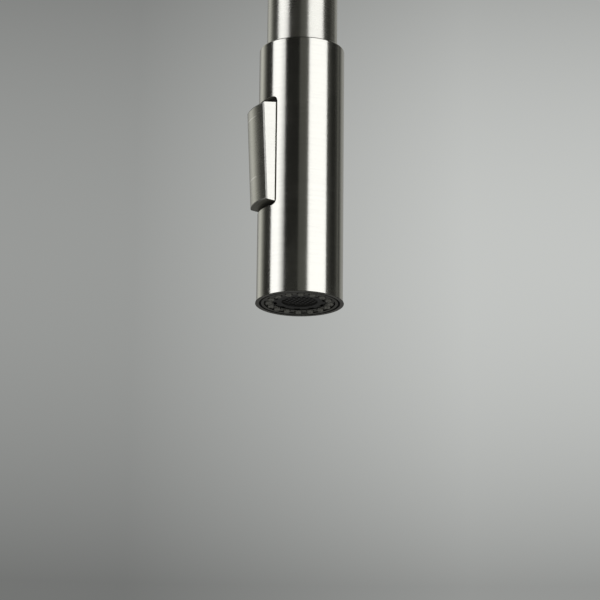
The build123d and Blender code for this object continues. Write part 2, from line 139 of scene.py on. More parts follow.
def brushed_steel(name, roughness=0.19, grain=1.0, shift=0.0, wavy=1.0, scratches=()):
    """Stainless steel with fine lines round the upright axis and faint smears. Shallow waves along the
    lines make the edges of a reflection fray. Scratches are given as (height, from, to) in mm."""
    finish = bpy.data.materials.new(name)
    tree = Tree(finish)
    along, line_depth, wave_depth = 45 * grain, 0.0014, 0.024 * wavy
    dull_steel, clean_steel, bare_steel = (0.58, 0.575, 0.485, 1), (0.68, 0.675, 0.57, 1), (1, 0.99, 0.88, 1)
    fine = tree.noise(tree.place((along, along, 9000 * grain), (shift, 0, 0)), 2, 0.6)
    broad = tree.noise(tree.place((along * 0.6, along * 0.6, 1800 * grain), (0, shift, 5)), 3, 0.6)
    waves = tree.noise(tree.place((190, 190, 1500), (3 + shift, 0, 0)), 2, 0.6)
    smears = tree.noise(tree.place((70, 70, 45), (0, 0, shift)), 4, 0.55)
    lines = fine * 0.6 + broad * 0.4
    bump = tree.add("Bump", {}, {"Strength": 1.0, "Distance": MM,
                                 "Height": lines * line_depth + waves * wave_depth})
    steel = tree.mixed(lines.ramped(0.3, 0.7) * 0.6 + smears * 0.4, dull_steel, clean_steel)
    cut_half, cut_fringe, run_in, run_out = 0.08, 0.24, 1.5, 2.5
    for level, start, end in scratches:
        across, height = (tree.add("SeparateXYZ", {}, {0: tree.place()}, out=n) * 1000 for n in (0, 2))
        off = tree.add("Math", {"operation": "ABSOLUTE"}, {0: height - level})
        cut = (1 - off.ramped(cut_half, cut_fringe)) * across.ramped(start, start + run_in)
        steel = tree.mixed(cut * (1 - across.ramped(end - run_out, end)), steel, bare_steel)
    tree.surface(Base_Color=steel,
                 Roughness=roughness - 0.05 + lines * 0.10 + smears.ramped(0.45, 0.75) * 0.05,
                 Metallic=1.0, Anisotropic=0.85, Anisotropic_Rotation=0.25, Normal=bump)
    return finish


def rounded(outline, steps=5):
    """An outline of (radius, height, rounding) corners as plain points, each corner rounded off."""
    points = []
    for n, (radius, height, rounding) in enumerate(outline):
        here = Vector((radius, height))
        if not rounding:
            points.append(here)
            continue
        before = (Vector(outline[n - 1][:2]) - here).normalized()
        after = (Vector(outline[(n + 1) % len(outline)][:2]) - here).normalized()
        half = before.angle(after) / 2
        middle = here + (before + after).normalized() * rounding / sin(half)
        first, last = (here + way * rounding / tan(half) for way in (before, after))
        for k in range(steps + 1):
            points.append(middle + (first - middle).slerp(last - middle, k / steps) * rounding)
    return points


def ring(mesh, radius, height, count):
    """A ring of points, the first towards the rocker's side."""
    return [mesh.verts.new((radius * sin(2 * pi * n / count), -radius * cos(2 * pi * n / count), height))
            for n in range(count)]


def band(mesh, first, second, skip=()):
    """Faces between two rings of as many points."""
    count = len(first)
    for n in range(count):
        if n not in skip:
            m = (n + 1) % count
            mesh.faces.new((first[n], first[m], second[m], second[n]))


def piece(name, mesh, finish, body, slot, *replaced, sharp=40):
    """Makes an object of a finished mesh, smooth up to an edge's angle, and puts it in the frame."""
    speck = 0.0004 * MM
    bmesh.ops.remove_doubles(mesh, verts=mesh.verts, dist=speck)
    bmesh.ops.dissolve_degenerate(mesh, edges=mesh.edges, dist=speck)
    bmesh.ops.recalc_face_normals(mesh, faces=mesh.faces)
    data = bpy.data.meshes.new(name)
    mesh.to_mesh(data)
    mesh.free()
    data.polygons.foreach_set("use_smooth", [True] * len(data.polygons))
    data.set_sharp_from_angle(angle=radians(sharp))
    made = bpy.data.objects.new(name, data)
    bpy.context.scene.collection.objects.link(made)
    made.data.materials.append(finish)
    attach(made, body)
    if replaced:
        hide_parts(*replaced)
    return made


def turned(outline, count=180):
    """A mesh turned about the upright axis from a closed outline."""
    mesh = bmesh.new()
    rings = [ring(mesh, p.x * MM, p.y * MM, count) for p in rounded(outline)]
    for first, second in zip(rings, rings[1:] + rings[:1]):
        band(mesh, first, second)
    return mesh


def true_to_axis(made, *radii):
    """Gives the points on these upright walls exact normals, so that reflections run straight."""
    near, upright = 0.002 * MM, 0.97
    data = made.data
    normals = [Vector(n.vector) for n in data.corner_normals]
    for face in data.polygons:
        for corner in face.loop_indices:
            x, y, _ = data.vertices[data.loops[corner].vertex_index].co
            out = Vector((x, y, 0))
            if any(abs(out.length - r * MM) < near for r in radii):
                out.normalize()
                if abs(face.normal.dot(out)) > upright:
                    normals[corner] = out if face.normal.dot(out) > 0 else -out
    data.normals_split_custom_set(normals)


low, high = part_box("spout_tube")
tube_r, tube_wall = high.x / MM, 1.2
tube_bore = tube_r - tube_wall
tube = piece("spout_tube_brushed",
             turned([(tube_bore, low.z / MM, 0.25), (tube_r, low.z / MM, 0.3),
                     (tube_r, high.z / MM, 0.1), (tube_bore, high.z / MM, 0.1)]),
             brushed_steel("tube_brushed_steel", 0.27, shift=2.0), "root", "tube_steel", "spout_tube")
true_to_axis(tube, tube_r, tube_bore)


# ---- Docking sleeve and its magnet ------------------------------------------------------------------
# A glass-filled plastic sleeve pressed into the tube's end. Grooves inside it take the collar's keys, and
# a pressed ferrite ring on its shelf holds the steel ring of the docked head.

def moulded(name, colour, roughness=0.5, grain=2600, depth=0.02, **more):
    """Moulded plastic: a spark-eroded grain, slightly uneven gloss and a little dust in the colour, more
    of it on pale plastic than on black. The grain's depth is in mm."""
    finish = bpy.data.materials.new(name)
    tree = Tree(finish)
    pits = tree.noise(tree.place((grain, grain, grain)), 2, 0.6)
    cloud = tree.noise(tree.place((130, 130, 130)), 3)
    dusty = tuple(c + 0.18 * min(0.35, 2 * c) for c in colour)
    tree.surface(Base_Color=tree.mixed(cloud.ramped(0.35, 0.8) * 0.35, (*colour, 1), (*dusty, 1)),
                 Roughness=roughness - 0.06 + pits * 0.08 + cloud * 0.06,
                 Normal=tree.add("Bump", {}, {"Strength": 0.5, "Distance": depth * MM, "Height": pits}),
                 **more)
    return finish


def dress(finish, *names):
    """Puts a finish on solids whose shape is already right."""
    for name in names:
        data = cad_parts[name].data
        data.materials.clear()
        data.materials.append(finish)


def ground(name, colour, roughness=0.35, metal=1.0):
    """A turned or ground face: tool marks round the axis and slight stains."""
    finish = bpy.data.materials.new(name)
    tree = Tree(finish)
    marks = tree.noise(tree.place((60, 60, 5200)), 2, 0.55)
    stains = tree.noise(tree.place((210, 210, 210)), 4, 0.6)
    dull = tuple(0.78 * c for c in colour)
    tree.surface(Base_Color=tree.mixed(stains.ramped(0.3, 0.75), (*colour, 1), (*dull, 1)),
                 Roughness=roughness - 0.05 + marks * 0.08 + stains * 0.08, Metallic=metal,
                 Normal=tree.add("Bump", {}, {"Strength": 0.3, "Distance": 0.006 * MM, "Height": marks}))
    return finish


dress(moulded("sleeve_black_plastic", (0.05, 0.05, 0.055)), "docking_sleeve")
dress(ground("ferrite", (0.075, 0.075, 0.08), 0.55, 0.3), "dock_magnet")


# ---- Inlet on the hose's end ------------------------------------------------------------------------
# A turned brass inlet that the hose screws into and the head swivels on. A grey keyed collar and a zinc
# plated ring sit on it, a strainer lies in it, and two greased O-rings and an acetal washer go round it.

def rubber(name, colour=(0.03, 0.03, 0.032), roughness=0.42):
    """Moulded rubber: nearly black, a soft sheen and a faint bloom."""
    finish = bpy.data.materials.new(name)
    tree = Tree(finish)
    bloom = tree.noise(tree.place((300, 300, 300)), 4, 0.6)
    fine = tree.noise(tree.place((3000, 3000, 3000)), 1)
    pale = tuple(0.8 * c + 0.03 for c in colour)
    tree.surface(Base_Color=tree.mixed(bloom.ramped(0.45, 0.8), (*colour, 1), (*pale, 1)),
                 Roughness=roughness + bloom * 0.14,
                 Normal=tree.add("Bump", {}, {"Strength": 0.3, "Distance": 0.01 * MM, "Height": fine}))
    return finish


brass = ground("turned_brass", (0.72, 0.56, 0.30), 0.3)
seal_rubber = rubber("seal_rubber")
dress(brass, "swivel_inlet", "diverter_seat", "diverter_spool")
dress(moulded("collar_grey_plastic", (0.165, 0.163, 0.15), 0.45), "docking_collar")
dress(ground("zinc_plate", (0.55, 0.55, 0.56), 0.4), "dock_steel_ring")
dress(ground("strainer_steel", (0.6, 0.6, 0.6), 0.35), "inlet_filter")
dress(moulded("acetal", (0.78, 0.78, 0.76), 0.4), "swivel_washer", "check_valve_cage", "check_poppet")
dress(seal_rubber, "inlet_o_rings", "check_seal", "divider_seal", "aerator_seal", "diverter_o_rings",
      "diverter_disc_seals")


# ---- Spring of the non-return valve -----------------------------------------------------------------
# A compression spring of stainless wire, wound in six turns. It stands in the cage below the poppet and
# shortens as the valve opens.

WIRE_R, WIRE_SIDES, TURNS, STEPS = 0.25, 10, 6, 24
low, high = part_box("check_spring")
coil_r = high.x / MM - WIRE_R
coil_end, rise = low.z / MM + WIRE_R, (high.z - low.z) / MM - 2 * WIRE_R
mesh = bmesh.new()
loops = []
for n in range(TURNS * STEPS + 1):
    turn = 2 * pi * n / STEPS
    loops.append([mesh.verts.new(Vector(((coil_r + WIRE_R * cos(a)) * cos(turn),
                                         (coil_r + WIRE_R * cos(a)) * sin(turn),
                                         coil_end + rise * n / (TURNS * STEPS) + WIRE_R * sin(a))) * MM)
                  for a in (2 * pi * k / WIRE_SIDES for k in range(WIRE_SIDES))])
for first, second in zip(loops, loops[1:]):
    band(mesh, first, second)
mesh.faces.new(loops[0])
mesh.faces.new(loops[-1])
spring = piece("check_spring_wound", mesh, ground("spring_wire", (0.6, 0.6, 0.6), 0.25), "inlet",
               "spring_steel", "check_spring")
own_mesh(spring)


# ---- Outer shell ------------------------------------------------------------------------------------
# The head's stainless steel cylinder, 35 mm across and 108 mm long. It is deep-drawn with a closed top,
# rounded at its shoulder, cut open on one side for the rocker, deburred and brushed round and round.

COLUMNS = 120
low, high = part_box("outer_shell")
reach_over, reach_under = 0.28, 0.54            # closes the joints above and below as the real head does
head_top, shell_end = high.z / MM + reach_over, low.z / MM - reach_under
shell_wall, shell_top_wall, shell_hole_r, shoulder = 1.5, 1.5, 9.5, 0.7
shell_r, shell_in_r = high.x / MM, high.x / MM - shell_wall
window_half, window_low, window_high, window_round = 8.95, -111.5, -64.9, 2.2
field, field_rows, field_over = 14, 16, 7       # field round the window: columns each side, rows, height over
field_low, field_high = window_low - field_over, window_high + field_over
burr = 0.15                                     # rounding of the window's outer edge
corner = 3                                      # points of each half corner


def window_outline(grown):
    """Points (across, height) round the window, grown outwards, as many as round the field."""
    half, bottom, top, bend = (window_half + grown, window_low - grown, window_high + grown,
                               window_round + grown)
    points = []
    corners = [(-1, bottom, 180), (1, bottom, 270), (1, top, 0), (-1, top, 90)]
    steps = (2 * field, field_rows, 2 * field, field_rows)
    for n, (side, level, angle) in enumerate(corners):
        middle = Vector((side * (half - bend), level + (bend if n < 2 else -bend)))
        nside, nlevel, nangle = corners[(n + 1) % 4]
        after = Vector((nside * (half - bend), nlevel + (bend if n in (3, 0) else -bend)))
        arc = [middle + bend * Vector((cos(radians(a)), sin(radians(a))))
               for a in (angle + 45 + 45 * k / corner for k in range(corner + 1))]
        start = arc[-1]
        end = after + bend * Vector((cos(radians(nangle)), sin(radians(nangle))))
        straight = steps[n] - 2 * corner
        points += arc[:-1] + [start.lerp(end, k / straight) for k in range(straight)]
        points += [after + bend * Vector((cos(radians(a)), sin(radians(a))))
                   for a in (nangle + 45 * k / corner for k in range(corner))]
    return points


def on_wall(radius, across, height):
    return Vector((across * MM, -sqrt(radius ** 2 - across ** 2) * MM, height * MM))


mesh = bmesh.new()
rows = [field_low + (field_high - field_low) * k / field_rows for k in range(field_rows + 1)]
outer = rounded([(shell_r, shell_end, 0.12), (shell_r, head_top, shoulder), (shell_hole_r, head_top, 0.2),
                 (shell_hole_r, head_top - shell_top_wall, 0.1), (shell_in_r, head_top - shell_top_wall, 0.3),
                 (shell_in_r, shell_end, 0.1)])
field_rings = {}
profile = []
for n, point in enumerate(outer):
    following = outer[(n + 1) % len(outer)]
    profile.append((point, None))
    if abs(point.x - following.x) < 1e-3 and abs(point.y - following.y) > field_high - field_low:
        levels = rows if following.y > point.y else rows[::-1]
        profile += [(Vector((point.x, level)), rows.index(level)) for level in levels]
rings = []
for point, row in profile:
    rings.append(ring(mesh, point.x * MM, point.y * MM, COLUMNS))
    if row is not None:
        field_rings[(point.x > shell_in_r + shell_wall / 2, row)] = rings[-1]
field_columns = set(range(COLUMNS - field, COLUMNS)) | set(range(field))
for n in range(len(rings)):
    m = (n + 1) % len(rings)
    inside = profile[n][1] is not None and profile[m][1] is not None
    band(mesh, rings[n], rings[m], field_columns if inside else ())


def field_edge(is_outer):
    """The field's edge in the shell's own points, from its lower corner at the left, round and round."""
    across = [n % COLUMNS for n in range(-field, field + 1)]
    edge = [field_rings[(is_outer, 0)][n] for n in across[:-1]]
    edge += [field_rings[(is_outer, k)][field] for k in range(field_rows)]
    edge += [field_rings[(is_outer, field_rows)][n] for n in across[:0:-1]]
    return edge + [field_rings[(is_outer, k)][COLUMNS - field] for k in range(field_rows, 0, -1)]


def opened(is_outer, radius, grown):
    """Loops of points from the field's edge to the window's, on one of the shell's walls."""
    edge = field_edge(is_outer)
    loops, rim = [edge], window_outline(grown)
    for share in (0.3, 0.55, 0.77, 0.92, 1.0):
        loop = []
        for start, (across, level) in zip(edge, rim):
            turn = atan2(start.co.x, -start.co.y)
            angle = turn + share * (atan2(across, sqrt(radius ** 2 - across ** 2)) - turn)
            height = start.co.z / MM + share * (level - start.co.z / MM)
            loop.append(mesh.verts.new(on_wall(radius, radius * sin(angle), height)))
        loops.append(loop)
    for first, second in zip(loops, loops[1:]):
        band(mesh, first, second)
    return loops[-1]


loops = [opened(True, shell_r, burr)]
burr_steps = 5
for k in range(1, burr_steps + 1):
    turn = pi / 2 * k / burr_steps
    grown, sunk = burr * (1 - sin(turn)), burr * (1 - cos(turn))
    loops.append([mesh.verts.new(on_wall(shell_r - sunk, across, level))
                  for across, level in window_outline(grown)])
for first, second in zip(loops, loops[1:]):
    band(mesh, first, second)
inner = opened(False, shell_in_r, 0.0)
band(mesh, loops[-1], inner)
mesh.faces.ensure_lookup_table()
for cut_face in mesh.faces[-len(inner):]:
    cut_face.material_index = 1
shell = piece("outer_shell_brushed", mesh, brushed_steel("shell_brushed_steel"), "head", "shell_steel",
              "outer_shell")
shell.data.materials.append(ground("shell_cut_edge", (0.66, 0.65, 0.55), 0.6))
true_to_axis(shell, shell_r, shell_in_r)


# ---- Valve body and what it holds -------------------------------------------------------------------
# One glass-filled black moulding fills the shell: the swivel's socket, the waterways and the ears for the
# rocker's pin. Only the dark pockets behind the rocker show from outside.

# Painted light: the black valve body's colour is painted paler, standing in for light in the shadowed pockets
# behind the rocker
dress(moulded("core_plastic_painted_fill_light", (0.2, 0.199, 0.185), 0.55), "valve_body")
dress(ground("pin_steel", (0.6, 0.6, 0.6), 0.22), "rocker_pin")
dress(moulded("divider_grey_plastic", (0.12, 0.12, 0.13), 0.5), "spray_divider", "flow_restrictor")


# ---- Rocker -----------------------------------------------------------------------------------------
# A cast and brushed metal rocker with a crowned face, standing proud of the shell, and the black lever
# glued into its back. It tips on the pin, here with its upper end out. Its long edges are worn.

tilt = radians(2.8)
pin = Vector((0, -10.5, (window_low + window_high) / 2))
button_half, button_wall, button_floor = 8.3, 1.25, 1.8
crown_out, crown_round, skirt = 10.6, 25.0, 3.0                 # crown's way out and radius; sides' ends
reach_up, reach_down, draft_up, draft_down = 20.25, 20.65, tan(radians(4.5)), tan(radians(9))
chamfer_in, chamfer_down, end_round = 0.62, 0.5, 0.6
scratches = [(-72.9, -6.5, 4.5), (-98.3, -7.2, 3.0)]            # height, and from and to across the face
STRIPS, LENGTHS = 32, 12                                        # faces across the crown and along it
FACE, WORN, SATIN_AND_SHADE, SMOOTH = range(4)                            # the button's finishes


def button_point(mesh, across, out, share):
    """A point of the button before it is tipped, share running from 0 at its lower end to 1."""
    top, bottom = reach_up + draft_up * (out + crown_out), -reach_down - draft_down * (out + crown_out)
    return mesh.verts.new(Vector((across, out, bottom + share * (top - bottom))) * MM)


mesh = bmesh.new()
crown_half = button_half - chamfer_in
front = [(x, crown_round - crown_out - sqrt(crown_round ** 2 - x ** 2))
         for x in (crown_half * (2 * k / STRIPS - 1) for k in range(STRIPS + 1))]
chamfer_end = front[0][1] + chamfer_down
front = [(-button_half, chamfer_end)] + front + [(button_half, chamfer_end)]
shares = [k / LENGTHS for k in range(LENGTHS + 1)]
grid = [[button_point(mesh, x, y, share) for x, y in front] for share in shares]
back = [[button_point(mesh, side * button_half, -skirt, share) for side in (-1, 1)] for share in shares]
for k in range(LENGTHS):
    for n in range(STRIPS + 2):
        strip = mesh.faces.new((grid[k][n], grid[k][n + 1], grid[k + 1][n + 1], grid[k + 1][n]))
        strip.material_index = WORN if n in (0, STRIPS + 1) else FACE
    mesh.faces.new((back[k][0], grid[k][0], grid[k + 1][0], back[k + 1][0]))
    mesh.faces.new((grid[k][-1], back[k][1], back[k + 1][1], grid[k + 1][-1]))
mesh.faces.new(grid[0] + back[0][::-1])
mesh.faces.new(grid[-1] + back[-1][::-1])
back_face = mesh.faces.new([b[0] for b in back] + [b[1] for b in back[::-1]])
bmesh.ops.recalc_face_normals(mesh, faces=mesh.faces)
bmesh.ops.inset_region(mesh, faces=[back_face], thickness=button_wall * MM, use_even_offset=True)
for vertex in back_face.verts:
    vertex.co.y = -(crown_out - button_floor) * MM
outward, side_ends = -0.85, -8.5                # what faces out, and what lies beyond the sides' ends
end_edges = [e for e in mesh.edges if len({f.normal.y < outward for f in e.link_faces}) == 2
             and max(v.co.y for v in e.verts) < side_ends * MM
             and abs(e.verts[0].co.z - e.verts[1].co.z) < MM]
bmesh.ops.bevel(mesh, geom=end_edges, offset=end_round * MM, segments=5, profile=0.6, affect="EDGES",
                material=SATIN_AND_SHADE)
# End faces and their roundings: a satin finish, their colour darkened as painted shade
for side in mesh.faces:
    if abs(side.normal.z) > 0.9:
        side.material_index = SATIN_AND_SHADE
    elif abs(side.normal.x) > 0.95:
        side.material_index = SMOOTH
mesh.transform(Matrix.Translation(pin * MM) @ Matrix.Rotation(tilt, 4, "X"))
rocker = piece("rocker_button_brushed", mesh,
               brushed_steel("rocker_brushed_steel", 0.26, 0.9, 7.0, 1.0, scratches), "rocker",
               "rocker_steel", "rocker_button", sharp=20)
rocker.data.materials.append(ground("rocker_worn_edges", (0.56, 0.556, 0.475), 0.42))
# The ends' satin finish is real; their dark colour is painted shade
rocker.data.materials.append(ground("rocker_satin_ends_painted_shade", (0.30, 0.297, 0.255), 0.42))
rocker.data.materials.append(brushed_steel("rocker_smooth_sides", 0.24, 0.9, 7.0, 0.2))
rocker.modifiers.new("even_normals", "WEIGHTED_NORMAL").keep_sharp = True
dress(moulded("lever_black_plastic", (0.035, 0.035, 0.038), 0.5), "rocker_lever")


# ---- Spray face -------------------------------------------------------------------------------------
# The dark moulded face, screwed up against the shell's end: a flat rim with a proud lip, a groove
# with black painted shade in it, a second ring, and inside it the sunk face with sixteen round holes that the
# soft jets stand in.

JETS, PER_JET = 16, 12                          # jets, and points of the rings for each
low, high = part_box("spray_face")
rim_r, rim_end, wall_top = high.x / MM, low.z / MM, high.z / MM
rim_in, lip_over = rim_r - 1.5, rim_end + 0.14
groove_in, groove_top = rim_r - 2.35, rim_end + 0.33
step_in, step_end = rim_r - 3.5, rim_end + 0.1
face_end, face_top = rim_end + 0.5, rim_end + 2.75
wall_out, wall_in = 15.99, 14.3
face_hole_r, jet_ring_r, jet_r = 10.6, 12.4, 1.296
moat, moat_depth, bevel_w, fit = 0.3, 0.8, 0.06, 0.1    # round face and jets; broken edge; clearance
# the second finish is black painted shade for the face's recesses
MOULDED, PAINTED_SHADE, RIM = range(3)                 # the face's finishes


def pierced_disc(mesh, height, first, last, count, per, hole_r, ring_r):
    """A flat ring between two radii with round holes. Gives its two edge rings and its holes' edges."""
    total, steps = count * per, 6
    rings = [ring(mesh, (first + (last - first) * k / steps) * MM, height * MM, total)
             for k in range(steps + 1)]
    holes = []
    for n in range(count):
        centre = Vector((ring_r * sin(2 * pi * n / count), -ring_r * cos(2 * pi * n / count), height)) * MM
        left, right = n * per - per // 2, n * per + per // 2
        edge = [rings[0][k % total] for k in range(left, right)]
        edge += [rings[k][right % total] for k in range(steps)]
        edge += [rings[steps][k % total] for k in range(right, left, -1)]
        edge += [rings[k][left % total] for k in range(steps, 0, -1)]
        loop = edge
        for share in (0.45, 0.8, 1.0):
            inner = []
            for start in edge:
                goal = centre + (start.co - centre).normalized() * hole_r * MM
                inner.append(mesh.verts.new(start.co.lerp(goal, share)))
            band(mesh, loop, inner)
            loop = inner
        holes.append(loop)
    return rings[0], rings[-1], holes


def sunk_copy(mesh, loop, centre, radius, height):
    """A loop of points round a hole again, at another radius and height."""
    copy = []
    for vertex in loop:
        way = (vertex.co - centre)
        way.z = 0
        copy.append(mesh.verts.new(centre + way.normalized() * radius * MM
                                   + Vector((0, 0, height * MM - centre.z))))
    return copy


def jet_middle(n, height):
    turn = 2 * pi * n / JETS
    return Vector((jet_ring_r * sin(turn), -jet_ring_r * cos(turn), height)) * MM


mesh = bmesh.new()
inner_low, outer_low, holes_low = pierced_disc(mesh, face_end, face_hole_r + 0.12, step_in - moat - 0.08,
                                               JETS, PER_JET, jet_r + moat + bevel_w, jet_ring_r)
inner_high, outer_high, holes_high = pierced_disc(mesh, face_top, face_hole_r, wall_in - 0.05,
                                                  JETS, PER_JET, jet_r + fit, jet_ring_r)
for n, (low_hole, high_hole) in enumerate(zip(holes_low, holes_high)):
    centre = jet_middle(n, face_end)
    wall = sunk_copy(mesh, low_hole, centre, jet_r + moat, face_end + bevel_w)
    top = sunk_copy(mesh, low_hole, centre, jet_r + moat, face_end + moat_depth)
    neck = sunk_copy(mesh, low_hole, centre, jet_r + fit, face_end + moat_depth)
    for first, second in ((low_hole, wall), (wall, top), (top, neck), (neck, high_hole)):
        band(mesh, first, second)
outline = rounded([(step_in - moat, face_end, bevel_w), (step_in - moat, face_end + 0.6, 0.03),
                   (step_in, face_end + 0.6, 0.03), (step_in, step_end, 0.1), (groove_in, step_end, 0.1),
                   (groove_in, groove_top, 0.05), (wall_out - 0.1, groove_top, 0.03),
                   (wall_out - 0.1, rim_end + 0.1, 0.03), (rim_in, rim_end + 0.1, 0.03),
                   (rim_in, rim_end, 0.05), (rim_r, rim_end, 0.05), (rim_r, lip_over, 0.03),
                   (wall_out, lip_over, 0), (wall_out, wall_top, 0.2), (wall_in, wall_top, 0.2),
                   (wall_in, face_top, 0)], 3)
rings = [outer_low] + [ring(mesh, p.x * MM, p.y * MM, JETS * PER_JET) for p in outline] + [outer_high]
for first, second in zip(rings, rings[1:]):
    band(mesh, first, second)
lip = [ring(mesh, p.x * MM, p.y * MM, JETS * PER_JET)
       for p in rounded([(20, face_end, 0), (face_hole_r, face_end, 0.12), (face_hole_r, 0, 0)], 3)[1:-1]]
rings = [inner_low] + lip + [inner_high]
for first, second in zip(rings, rings[1:]):
    band(mesh, first, second)
# Painted shade: the moats round the jets, the groove and the rim's outer edge get the black finish, standing
# in for the shade in them
for flat in mesh.faces:
    centre = flat.calc_center_median() / MM
    radius, depth = sqrt(centre.x ** 2 + centre.y ** 2), centre.z - rim_end
    in_moat, in_groove = depth > 0.53, groove_in - 0.02 < radius < rim_in and depth > 0.03
    if in_moat or in_groove or radius > rim_r - 0.03:
        flat.material_index = PAINTED_SHADE
    elif radius > rim_in:
        flat.material_index = RIM
    else:
        flat.material_index = MOULDED
face_plastic = moulded("face_grey_plastic", (0.078, 0.077, 0.063), 0.46, 2200, 0.012,
                       Specular_IOR_Level=0.35)
# black painted shade, used in the face's recesses and the aerator's notches
painted_shade_plastic = moulded("painted_shade_black_plastic", (0.006, 0.006, 0.005), 0.7, Specular_IOR_Level=0.1)
face = piece("spray_face_moulded", mesh, face_plastic, "head", "face_plastic", "spray_face", sharp=50)
face.data.materials.append(painted_shade_plastic)
face.data.materials.append(moulded("rim_grey_plastic", (0.10, 0.098, 0.08), 0.42, 2200, 0.012))
face.modifiers.new("even_normals", "WEIGHTED_NORMAL").keep_sharp = True


# ---- Soft jets --------------------------------------------------------------------------------------
# A mat of grey silicone behind the face, with sixteen soft jets that stand out of its holes. Lime is
# rubbed off them with a finger, so their tips are rounded and slightly polished.

low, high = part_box("nozzle_mat")
mat_top, jet_end = high.z / MM, low.z / MM
mat_thickness, jet_tip_r, jet_bore_r = 2.0, 1.18, 0.454
mat_end = mat_top - mat_thickness
mesh = bmesh.new()
inner_low, outer_low, jets_low = pierced_disc(mesh, mat_end, face_hole_r, wall_in - fit, JETS, PER_JET,
                                              jet_r, jet_ring_r)
inner_high, outer_high, jets_high = pierced_disc(mesh, mat_top, face_hole_r, wall_in - fit, JETS, PER_JET,
                                                 jet_bore_r, jet_ring_r)
band(mesh, inner_low, inner_high)
band(mesh, outer_low, outer_high)
for n, (base, bore) in enumerate(zip(jets_low, jets_high)):
    centre = jet_middle(n, mat_end)
    outline = rounded([(jet_r, mat_end, 0), (jet_tip_r, jet_end, 0.22), (jet_bore_r, jet_end, 0.1),
                       (jet_bore_r, mat_top, 0)], 4)[1:-1]
    loops = [base] + [sunk_copy(mesh, base, centre, p.x, p.y) for p in outline] + [bore]
    for first, second in zip(loops, loops[1:]):
        band(mesh, first, second)
piece("jet_mat_moulded", mesh, rubber("jet_silicone", (0.17, 0.168, 0.137), 0.55), "head", "mat_rubber",
      "nozzle_mat", sharp=50)


# ---- Aerator ----------------------------------------------------------------------------------------
# The middle stream's aerator screws in from below with a ten-notched key. Its honeycomb insert snaps in
# behind the housing's lip. The housing is dark grey; its notches are black painted shade.

low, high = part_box("aerator_housing")
aerator_end, aerator_top = low.z / MM, high.z / MM
flange_r, flange_top = high.x / MM, aerator_end + 2.2
socket_r, bore_r, lip_r, lip_top = 8.85, 7.95, 7.3, aerator_end + 0.7
NOTCHES, notch_half, notch_cut, notch_top = 10, 1.3, 1.1, aerator_end + 2.0
floor_r = flange_r - notch_cut
notch_pitch, tooth_steps = 2 * pi / NOTCHES, 8


def notched_turns():
    """Directions round the flange as (turn at its edge, turn at the notches' floor, is in a notch)."""
    turns = []
    at_edge, at_floor = atan2(notch_half, sqrt(flange_r ** 2 - notch_half ** 2)), atan2(notch_half, floor_r)
    tooth = notch_pitch - 2 * at_edge
    for n in range(NOTCHES):
        middle = n * notch_pitch
        for share in (-1, -0.5, 0, 0.5, 1):
            turns.append((middle + share * at_edge, middle + share * at_floor, True))
        turns += [(middle + at_edge + tooth * k / tooth_steps,) * 2 + (False,)
                  for k in range(tooth_steps + 1)]
    return turns


def notched_ring(mesh, radius, height, floor=None):
    """A ring of points at a radius, drawn in to a flat floor in the notches where one is given."""
    points = []
    for turn, floor_turn, inside in notched_turns():
        angle, reach = turn, radius
        if floor is not None and inside:
            angle = floor_turn
            reach = floor / cos(floor_turn - round(floor_turn / notch_pitch) * notch_pitch)
        points.append(mesh.verts.new((reach * sin(angle) * MM, -reach * cos(angle) * MM, height * MM)))
    return points


mesh = bmesh.new()
stack = [(lip_r, aerator_end), (lip_r, lip_top), (bore_r, lip_top), (bore_r, aerator_top),
         (socket_r, aerator_top), (socket_r, flange_top), (flange_r, flange_top), (flange_r, notch_top),
         (flange_r, notch_top, floor_r), (flange_r, aerator_end, floor_r)]
rings = [notched_ring(mesh, *level) for level in stack]
for first, second in zip(rings, rings[1:] + rings[:1]):
    band(mesh, first, second)
# Painted shade: the flange's faces above its end face, the notches with them, get the black finish
for flat in mesh.faces:
    centre = flat.calc_center_median() / MM
    if centre.z > aerator_end + 0.1 and centre.xy.length > floor_r - 0.1:
        flat.material_index = 1
aerator_plastic = moulded("aerator_dark_plastic", (0.026, 0.026, 0.022), 0.45, 2200, 0.012,
                          Specular_IOR_Level=0.3)
housing = piece("aerator_housing_notched", mesh, aerator_plastic, "head", "aerator_plastic",
                "aerator_housing", sharp=35)
housing.data.materials.append(painted_shade_plastic)
soften = housing.modifiers.new("broken_edges", "BEVEL")
soften.width, soften.segments, soften.limit_method = 0.09 * MM, 2, "ANGLE"
soften.angle_limit = radians(40)
dress(aerator_plastic, "aerator_insert")


# ---- The picture ------------------------------------------------------------------------------------
# The camera stands 1.15 m away and looks up at the head. Two tall soft boxes stand left and right of the
# head, and dark and grey cards round about draw the other bands in the steel. A pale floor lies far below.

azimuth, elevation, roll, distance = radians(65.5), radians(-16.8), radians(0.582), 1.15
aim_right, aim_up = 0.193, 1.65                 # the aim, from the middle of the face's end
right = Vector((cos(azimuth), sin(azimuth), 0))
back = Vector((sin(azimuth) * cos(elevation), -cos(azimuth) * cos(elevation), sin(elevation)))
up = back.cross(right)
target = right * aim_right * MM + Vector((0, 0, rim_end + aim_up)) * MM
lens = bpy.data.cameras.new("lens")
lens.lens, lens.sensor_width, lens.clip_start = 171.1, 36.0, 0.01
camera = bpy.data.objects.new("camera", lens)
sideways, upwards = right * cos(roll) + up * sin(roll), up * cos(roll) - right * sin(roll)
camera.matrix_world = Matrix.Translation(target + back * distance) @ Matrix(
    (sideways, upwards, back)).transposed().to_4x4()
bpy.context.scene.collection.objects.link(camera)
bpy.context.scene.camera = camera


